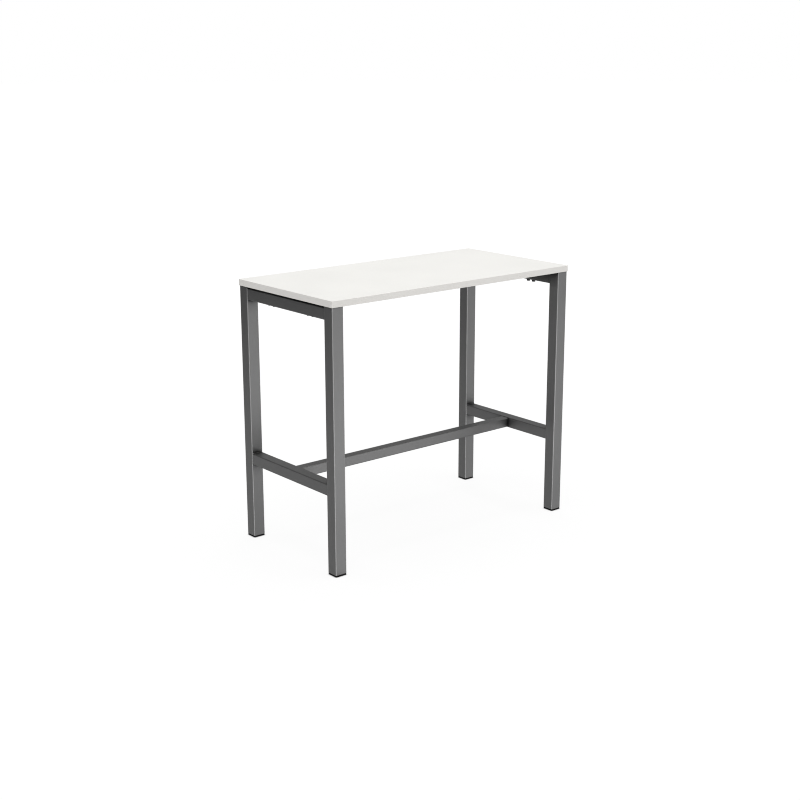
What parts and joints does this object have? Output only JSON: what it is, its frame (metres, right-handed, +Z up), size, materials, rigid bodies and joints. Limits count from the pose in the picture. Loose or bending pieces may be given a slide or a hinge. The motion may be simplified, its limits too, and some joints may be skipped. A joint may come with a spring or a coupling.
{
  "type": "standing meeting table",
  "caption": "Standing-height rectangular table: white banded board on a graphite square-tube frame with end cross rails, a footrest stretcher and square levelling feet.",
  "frame": {"origin": "on the floor under the middle of the board", "axes": "+X along the table, -Y the front long side, +Z up"},
  "size_m": [1.2, 0.6, 1.05],
  "materials": {
    "white_board": "white melamine-faced particle board, satin, very fine grain",
    "white_band": "white 2 mm plastic edge band, satin",
    "graphite_frame": "graphite grey metallic powder coat, fine orange peel, satin",
    "black_plastic": "black moulded plastic, matt",
    "black_fastener": "black oxide steel",
    "zinc_steel": "zinc-plated steel"
  },
  "bodies": {
    "table_frame": {"table_top_board": "white_board", "edge_band_front": "white_band", "edge_band_back": "white_band", "edge_band_left": "white_band", "edge_band_right": "white_band", "leg_front_left": "graphite_frame", "leg_back_left": "graphite_frame", "leg_front_right": "graphite_frame", "leg_back_right": "graphite_frame", "top_rail_left": "graphite_frame", "top_rail_right": "graphite_frame", "lower_rail_left": "graphite_frame", "lower_rail_right": "graphite_frame", "footrest_stretcher": "graphite_frame", "stretcher_spigot_left": "graphite_frame", "stretcher_spigot_right": "graphite_frame", "stretcher_screw_left_a": "black_fastener", "stretcher_screw_left_b": "black_fastener", "stretcher_screw_right_a": "black_fastener", "stretcher_screw_right_b": "black_fastener", "board_bolt_front_left_a": "black_fastener", "board_bolt_front_left_b": "black_fastener", "board_bolt_back_left_a": "black_fastener", "board_bolt_back_left_b": "black_fastener", "board_bolt_front_right_a": "black_fastener", "board_bolt_front_right_b": "black_fastener", "board_bolt_back_right_a": "black_fastener", "board_bolt_back_right_b": "black_fastener", "threaded_insert_front_left_a": "zinc_steel", "threaded_insert_front_left_b": "zinc_steel", "threaded_insert_back_left_a": "zinc_steel", "threaded_insert_back_left_b": "zinc_steel", "threaded_insert_front_right_a": "zinc_steel", "threaded_insert_front_right_b": "zinc_steel", "threaded_insert_back_right_a": "zinc_steel", "threaded_insert_back_right_b": "zinc_steel", "spacer_strip_left": "black_plastic", "spacer_strip_right": "black_plastic", "leg_cap_front_left": "black_plastic", "leg_cap_back_left": "black_plastic", "leg_cap_front_right": "black_plastic", "leg_cap_back_right": "black_plastic", "foot_insert_front_left": "black_plastic", "foot_insert_back_left": "black_plastic", "foot_insert_front_right": "black_plastic", "foot_insert_back_right": "black_plastic"},
    "pad_front_left": {"foot_pad_front_left": "black_plastic"},
    "stud_front_left": {"foot_stud_front_left": "zinc_steel"},
    "pad_back_left": {"foot_pad_back_left": "black_plastic"},
    "stud_back_left": {"foot_stud_back_left": "zinc_steel"},
    "pad_front_right": {"foot_pad_front_right": "black_plastic"},
    "stud_front_right": {"foot_stud_front_right": "zinc_steel"},
    "pad_back_right": {"foot_pad_back_right": "black_plastic"},
    "stud_back_right": {"foot_stud_back_right": "zinc_steel"}
  },
  "joints": [
    {"name": "foot_slide_front_left", "type": "slide", "parent": "table_frame", "child": "pad_front_left", "axis": [0, 0, -1], "range_m": [0, 0.015]},
    {"name": "stud_turn_front_left", "type": "hinge", "parent": "pad_front_left", "child": "stud_front_left", "pos_m": [-0.573, -0.273, 0], "axis": [0, 0, -1], "range_deg": [0, 3600]},
    {"name": "foot_slide_back_left", "type": "slide", "parent": "table_frame", "child": "pad_back_left", "axis": [0, 0, -1], "range_m": [0, 0.015]},
    {"name": "stud_turn_back_left", "type": "hinge", "parent": "pad_back_left", "child": "stud_back_left", "pos_m": [-0.573, 0.273, 0], "axis": [0, 0, -1], "range_deg": [0, 3600]},
    {"name": "foot_slide_front_right", "type": "slide", "parent": "table_frame", "child": "pad_front_right", "axis": [0, 0, -1], "range_m": [0, 0.015]},
    {"name": "stud_turn_front_right", "type": "hinge", "parent": "pad_front_right", "child": "stud_front_right", "pos_m": [0.573, -0.273, 0], "axis": [0, 0, -1], "range_deg": [0, 3600]},
    {"name": "foot_slide_back_right", "type": "slide", "parent": "table_frame", "child": "pad_back_right", "axis": [0, 0, -1], "range_m": [0, 0.015]},
    {"name": "stud_turn_back_right", "type": "hinge", "parent": "pad_back_right", "child": "stud_back_right", "pos_m": [0.573, 0.273, 0], "axis": [0, 0, -1], "range_deg": [0, 3600]}
  ],
  "couplings": [
    {"joint": "stud_turn_front_left", "follows": "foot_slide_front_left", "rad_per_m": 4188.8},
    {"joint": "stud_turn_back_left", "follows": "foot_slide_back_left", "rad_per_m": 4188.8},
    {"joint": "stud_turn_front_right", "follows": "foot_slide_front_right", "rad_per_m": 4188.8},
    {"joint": "stud_turn_back_right", "follows": "foot_slide_back_right", "rad_per_m": 4188.8}
  ]
}
